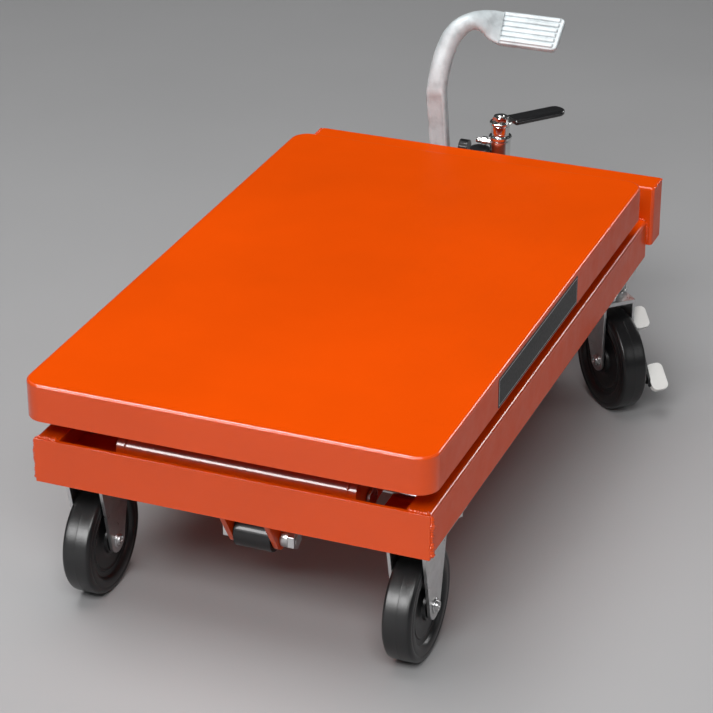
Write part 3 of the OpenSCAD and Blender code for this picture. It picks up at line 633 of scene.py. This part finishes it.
# ---------------------------------------------------------------- release valve
VALVE_PROFILE = (
    (0, 13.0), (11.6, 13.0), (11.6, 17.0), (12.6, 18.0), (13.1, 20.0), (13.1, 38.0), (12.5, 40.0),
    (13.8, 41.0), (14.5, 41.9), (14.5, 45.0), (13.8, 45.9), (11.2, 46.3), (10.7, 47.4), (10.7, 49.4),
    (11.9, 50.4), (11.9, 59.2), (11.3, 60.2), (4.4, 60.4), (4.4, 72.4), (3.8, 73.0), (0, 73.0),
)
SPUR_PROFILE = (
    (0, 0), (3.9, 0), (3.9, 5.6), (5.5, 6.2), (5.8, 7.0), (5.8, 11.8), (5.0, 12.9), (3.7, 13.2),
    (3.2, 14.0), (3.8, 14.7), (3.2, 15.5), (3.8, 16.2), (3.2, 17.0), (3.8, 17.7), (3.2, 18.5), (3.6, 19.2),
    (3.0, 20.4), (0, 20.5),
)
HANDLE_DISC = ((4.6, 0.1), (13.3, 0.1), (13.9, 0.7), (13.9, 2.9), (13.3, 3.5), (4.6, 3.5))
HANDLE_BAR = (  # distance from the stem, half width, height of the underside
    (6, 7.0, 0.15), (16, 7.0, 0.15), (26, 7.0, 0.2), (60, 7.0, 0.2), (81, 6.6, 0.2),
)
HANDLE_BAR_TOP = 3.4
GRIP_SIDES, GRIP_HALF_W, GRIP_HALF_H, GRIP_MID_Z = 32, 13.8, 3.65, 1.8
GRIP_END, GRIP_NOSE = 79.5, 13.2
GRIP_STATIONS = (  # distance from the stem, share of the width, share of the height
    (15.3, 0.88, 0.55), (16.0, 0.97, 0.9), (17.4, 1.0, 1.0), (40, 1.0, 1.0), (62, 1.0, 1.0),
    (GRIP_END, 1.0, 1.0),
)


def hexagon_into(bm, centre, r, z0, z1, turn=0.0, dome=1.2):
    """A hexagon nut blank with domed corners, about Z (mm)."""
    cx, cy = centre
    steps, sixth = 48, math.pi / 3
    round_r = r * math.cos(sixth / 2) * 0.985
    rings = []
    for z, grow in ((z0, 0.0), (z0 + dome * 0.5, 1.0), (z1 - dome, 1.0), (z1 - dome * 0.4, 0.55), (z1, 0.0)):
        ring = []
        for k in range(steps):
            a = turn_at(k, steps)
            flat = r * math.cos(sixth / 2) / math.cos(((a + sixth / 2) % sixth) - sixth / 2)
            reach = round_r + (flat - round_r) * grow
            ring.append((cx + reach * math.cos(a + turn), cy + reach * math.sin(a + turn), z))
        rings.append(ring)
    part = bmesh.new()
    skin_loops(part, rings)
    merge_into(bm, part)


def make_valve():
    """Hexagon foot, turned body with a collar, stem with its nut, and a threaded side fitting."""
    centre = (VALVE_X, VALVE_Y)
    bm = bmesh.new()
    hexagon_into(bm, centre, 14.5, VALVE_Z, VALVE_Z + 15)
    lathe_into(bm, VALVE_PROFILE, (*centre, VALVE_Z), (0, 0, 1), 48)
    hexagon_into(bm, centre, 10.4, VALVE_Z + 64.8, VALVE_Z + 71.7, dome=1.6)
    lathe_into(bm, SPUR_PROFILE, (SPUR_X, VALVE_Y, SPUR_Z), (-1, 0, 0), 32)
    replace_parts(finish_mesh("valve_casting", bm, "chrome", "base", 32.0), "valve_body")


def grip_ring(centre, across, t, wide, tall):
    """One section of the grip, with round edges and a groove along its top near the end."""
    ring = []
    for k in range(GRIP_SIDES):
        a = turn_at(k, GRIP_SIDES)
        cu = math.copysign(abs(math.cos(a)) ** 0.42, math.cos(a)) * GRIP_HALF_W * wide
        cz = math.copysign(abs(math.sin(a)) ** 0.55, math.sin(a)) * GRIP_HALF_H * tall
        groove = smoothstep(t, 56, 60) * (1 - smoothstep(t, 80, 84)) * (1 - smoothstep(abs(cu), 3.0, 4.6))
        if cz > 0:
            cz -= 1.3 * groove
            cz -= 0.6 * smoothstep(abs(cu), 9.0, 13.0) * wide
        ring.append(centre + across * cu + Vector((0, 0, cz)))
    return ring


def make_valve_handle():
    """Pressed lever with a disc round the stem, and a dipped grip with a long groove."""
    along = Vector((math.cos(HANDLE_TURN), math.sin(HANDLE_TURN), 0))
    across = Vector((-along.y, along.x, 0))
    origin = Vector((VALVE_X, VALVE_Y, HANDLE_Z))
    bm = bmesh.new()
    lathe_into(bm, HANDLE_DISC, origin, (0, 0, 1), 48, bored=True)
    skin_loops(bm, [
        [origin + along * t + across * s * half + Vector((0, 0, h))
         for s, h in ((-1, low), (1, low), (1, HANDLE_BAR_TOP), (-1, HANDLE_BAR_TOP))]
        for t, half, low in HANDLE_BAR
    ])
    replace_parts(finish_mesh("valve_arm", bm, "chrome", "valve_handle", 30.0), "valve_lever")

    stations = list(GRIP_STATIONS)
    for a in map(math.radians, (15, 30, 45, 58, 70, 80, 87)):
        stations.append((GRIP_END + GRIP_NOSE * math.sin(a), math.cos(a), 0.45 + 0.55 * math.cos(a)))
    grip = bmesh.new()
    skin_loops(grip, [
        grip_ring(origin + along * t + Vector((0, 0, GRIP_MID_Z)), across, t, wide, tall)
        for t, wide, tall in stations
    ])
    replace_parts(finish_mesh("valve_dipped_grip", grip, "black_vinyl", "valve_handle", 50.0), "valve_grip")


# ---------------------------------------------------------------- castor heads
RACE_PROFILE = (
    (0, 144.0), (29.5, 144.0), (30.6, 144.3), (31.0, 145.2), (30.6, 146.2), (29.2, 146.8),
    (28.2, 148.4), (27.6, 151.2), (28.4, 152.4), (0, 152.4),
)
KING_PIN_PROFILE = ((0, 136.3), (5.9, 136.3), (5.9, 144.2), (0, 144.2))
KING_NUT_LOW, KING_NUT_TOP = 128.6, 136.4


def make_swivel_races():
    """Ball race housing, king pin and nut of each swivel castor; heights are from the floor."""
    for side, tag in SIDES:
        x, y = side * CASTOR_X, CASTOR_Y
        bm = bmesh.new()
        lathe_into(bm, RACE_PROFILE, (x, y, 0), (0, 0, 1), 72)
        hexagon_into(bm, (x, y), 10.5, KING_NUT_LOW, KING_NUT_TOP, turn=0.3)
        lathe_into(bm, KING_PIN_PROFILE, (x, y, 0), (0, 0, 1), 32)
        finish_mesh("swivel_race_" + tag, bm, "zinc", "base")


# ---------------------------------------------------------------- return spring
def make_spring():
    """Round-wire return spring under the plunger's head."""
    steps = 160
    points = []
    for i in range(steps + 1):
        t = i / steps
        rise = smoothstep(t, 0.0, 0.12) * 0.06 + smoothstep(t, 0.88, 1.0) * 0.06 + 0.88 * t
        a = 2 * math.pi * SPRING_TURNS * t
        points.append((
            SPRING_X + SPRING_R * math.cos(a),
            SPRING_Y + SPRING_R * math.sin(a),
            SPRING_LOW + (SPRING_TOP - SPRING_LOW) * min(1.0, rise),
        ))
    bm = bmesh.new()
    tube_into(bm, points, SPRING_WIRE_R, 10)
    obj = finish_mesh("return_spring", bm, "bright_steel", "base", 60.0, weighted=False)
    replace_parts(obj, "plunger_spring")
    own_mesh(obj)


# ---------------------------------------------------------------- weld beads
WELD_STEP, RIPPLE_PITCH, WELD_SIDES = 0.8, 3.1, 10


def weld(name, points, radius, body, seed):
    """A painted weld bead: overlapping ripples along points (mm)."""
    dense = []
    for p, q in zip(points, points[1:]):
        p, q = Vector(p), Vector(q)
        n = max(2, int((q - p).length / WELD_STEP))
        dense += [p.lerp(q, k / n) for k in range(n)]
    dense.append(Vector(points[-1]))
    run, radii, placed = 0.0, [], []
    for i, p in enumerate(dense):
        if i:
            run += (p - dense[i - 1]).length
        ripple = 0.5 + 0.5 * math.sin(run * 2 * math.pi / RIPPLE_PITCH + seed)
        wander = 0.18 * math.sin(run * 0.21 + seed * 1.7) + 0.12 * math.sin(run * 0.57 + seed)
        end = min(1.0, (i + 0.6) / 3.0, (len(dense) - i - 0.4) / 3.0)
        radii.append(radius * (0.68 + 0.34 * ripple + wander) * end)
        placed.append(p + Vector((wander, wander * 0.6, -wander * 0.7)) * radius * 0.3)
    bm = bmesh.new()
    tube_into(bm, placed, radii, WELD_SIDES)
    finish_mesh(name, bm, "orange_paint", body, 80.0, weighted=False)


def ring_points(x, cy, cz, r, n=36):
    """A circle about X, closed on its first point."""
    return [(x, cy + r * math.cos(turn_at(k, n)), cz + r * math.sin(turn_at(k, n))) for k in range(n + 1)]


def straight(x0, y0, z0, x1, y1, z1):
    return [(x0, y0, z0), (x1, y1, z1)]


BEADS = (  # tag, points on the right side, bead radius, body
    ("rail_front_side",
     straight(RAIL_X + 0.2, RAIL_END - 0.6, RAIL_LOW + 1.5, RAIL_X + 0.2, RAIL_END - 0.6, RAIL_TOP - 1.5),
     3.3, "base"),
    ("rail_front_top",
     straight(RAIL_X - 1.5, RAIL_END - 0.4, RAIL_TOP, RAIL_IN + 1, RAIL_END - 0.4, RAIL_TOP), 3.0, "base"),
    ("rail_beam_top", straight(RAIL_X - 1.5, BEAM_Y, RAIL_TOP, RAIL_IN + 1, BEAM_Y, RAIL_TOP), 3.2, "base"),
    ("rail_beam_side", straight(RAIL_X, BEAM_Y, RAIL_TOP - 2, RAIL_X, BEAM_Y, BEAM_LOW + 2), 2.8, "base"),
    ("beam_end_top",
     straight(BEAM_X - 0.8, BEAM_Y + 2.5, BEAM_TOP - 0.8, BEAM_X - 0.8, BEAM_BACK - 2.5, BEAM_TOP - 0.8),
     1.5, "base"),
    ("ear_plate", straight(28.2, Y_FRONT + 40, 152.4, 28.2, Y_FRONT + 76, 152.4), 1.8, "base"),
    ("bracket_plate", straight(34, Y_FRONT + 38, 156.2, 34, Y_FRONT + 75, 156.2), 1.6, "base"),
    ("pivot_lug", straight(121.2, -421, 161.2, 121.2, -390, 161.2), 1.9, "base"),
    ("tie_tube_end", ring_points(123.4, -431.0, 201.0, 13.4), 1.5, "inner_arms"),
    ("crossbar_end", ring_points(123.6, -150.66, 211.4, 12.1), 2.0, "inner_arms"),
    ("table_lug", straight(167.3, -432, 273.8, 167.3, -386, 273.8), 1.8, "table"),
)
TRACK_BEAD_X, TRACK_BEAD_Z, TRACK_BEAD_L, TRACK_BEAD_R = 153.7, 273.6, 26, 1.9
TRACK_BEAD_YS = (-80, 20, 120, 220)


def make_welds():
    """The beads above and the short beads along the upper tracks, on both sides."""
    for n, (tag, points, radius, body) in enumerate(BEADS):
        for side, end in SIDES:
            seed = n + (0.9 if side < 0 else 0)
            weld("weld_%s_%s" % (tag, end), flip(points, side), radius, body, seed)
    for n, y in enumerate(TRACK_BEAD_YS):
        points = straight(TRACK_BEAD_X, y, TRACK_BEAD_Z, TRACK_BEAD_X, y + TRACK_BEAD_L, TRACK_BEAD_Z)
        for side, end in SIDES:
            weld("weld_track_%d_%s" % (n, end), flip(points, side), TRACK_BEAD_R, "table", n)


# ---------------------------------------------------------------- build
EDGE_RADIUS = 0.5  # of a CAD node that isn't named below
EDGE_RADII = {
    2.6: ("brake_pads_left", "brake_pads_right"),
    2.4: ("pump_body",),
    1.6: ("side_rail_left", "side_rail_right", "filler_cap", "cylinder_barrel"),
    1.3: ("front_crossmember",),
    0.9: ("inner_arm_left", "inner_arm_right", "outer_arm_left", "outer_arm_right"),
    0.8: ("castor_mounts", "front_fork_left", "front_fork_right", "rear_fork_left", "rear_fork_right"),
    0.7: ("brake_lever_left", "brake_lever_right"),
}
REMADE = {
    "table_top", "rear_beam", "pedal_lever", "valve_body", "valve_lever", "valve_grip", "plunger_spring",
    *AXLES,
}
make_sheets()
make_label()
make_pedal()
make_valve()
make_valve_handle()
make_swivel_races()
make_spring()
make_welds()
for wheel_node, axle in AXLES.items():
    make_wheel(wheel_node, axle)
edge_radius_of = {node: radius for radius, nodes in EDGE_RADII.items() for node in nodes}
for node_name in sorted(frame["nodes"]):
    if node_name not in REMADE:
        soften(node_name, edge_radius_of.get(node_name, EDGE_RADIUS))
for node_name, obj in frame["nodes"].items():
    obj.data.materials.clear()
    obj.data.materials.append(MATS[SLOT_OF[node_name]])


# ---------------------------------------------------------------- camera
AZIMUTH, ELEVATION = math.radians(21.61), math.radians(26.85)
CAMERA_TARGET, CAMERA_DISTANCE = Vector((0.01488, -0.145, 0.19583)), 2.8936
back = Vector((
    math.sin(AZIMUTH) * math.cos(ELEVATION),
    -math.cos(AZIMUTH) * math.cos(ELEVATION),
    math.sin(ELEVATION),
))
camera = bpy.data.objects.new("camera", bpy.data.cameras.new("camera"))
scene.collection.objects.link(camera)
camera.data.sensor_width = 36.0
camera.data.lens = 131.82
camera.data.clip_start, camera.data.clip_end = 0.05, 60.0
camera.location = CAMERA_TARGET + back * CAMERA_DISTANCE
camera.rotation_mode = "QUATERNION"
camera.rotation_quaternion = (-back).to_track_quat("-Z", "Y")
scene.camera = camera


# ---------------------------------------------------------------- floor
FLOOR_HALF = 14.0
FLOOR_GREYS = [(0.3, (0.41, 0.41, 0.415)), (0.7, (0.44, 0.44, 0.445))]
floor_bm = bmesh.new()
bmesh.ops.create_grid(floor_bm, x_segments=2, y_segments=2, size=FLOOR_HALF)
floor_mesh = bpy.data.meshes.new("floor")
floor_bm.to_mesh(floor_mesh)
floor_bm.free()
floor_mat, floor_tree, floor_shader, floor_where = new_material("floor")
floor_tree.links.new(
    ramp_of(floor_tree, noise_of(floor_tree, floor_where, scale=1.5), FLOOR_GREYS),
    floor_shader.inputs["Base Color"],
)
floor_shader.inputs["Roughness"].default_value = 0.65
floor_mesh.materials.append(floor_mat)
floor = bpy.data.objects.new("floor", floor_mesh)
scene.collection.objects.link(floor)


# ---------------------------------------------------------------- light
LIGHTS = (  # name, place, aim, size (m), power (W), lights diffuse surfaces too
    ("key", (-0.5, -0.4, 3.4), (0.0, -0.1, 0.2), (2.6, 2.0), 68.0, True),
    ("front_high", (0.7, -2.9, 2.9), (0.0, -0.4, 0.2), (2.4, 1.2), 94.0, True),
    ("right_fill", (3.4, -0.4, 1.6), (0.1, 0.0, 0.15), (1.2, 1.0), 8.0, True),
    ("front_panel", (-1.1, -3.0, 1.5), (0.0, -0.4, 0.2), (1.7, 0.9), 95.0, False),
    ("top_panel", (-1.35, 0.0, 3.2), (0.0, -0.1, 0.2), (1.3, 1.3), 100.0, False),
    ("back_panel", (1.75, 3.2, 1.9), (0.1, 0.0, 0.25), (1.2, 0.9), 30.0, False),
)
for light_name, place, aim, size, power, diffuse in LIGHTS:
    lamp = bpy.data.lights.new(light_name, "AREA")
    lamp.shape = "RECTANGLE"
    lamp.size, lamp.size_y = size
    lamp.energy = power
    obj = bpy.data.objects.new(light_name, lamp)
    scene.collection.objects.link(obj)
    obj.location = place
    obj.rotation_mode = "QUATERNION"
    obj.rotation_quaternion = (Vector(aim) - Vector(place)).to_track_quat("-Z", "Y")
    obj.visible_diffuse = diffuse

world = bpy.data.worlds.new("studio")
scene.world = world
world.use_nodes = True
world.node_tree.nodes["Background"].inputs["Color"].default_value = (0.9, 0.92, 0.95, 1.0)
world.node_tree.nodes["Background"].inputs["Strength"].default_value = 0.05
scene.view_settings.view_transform = "Standard"
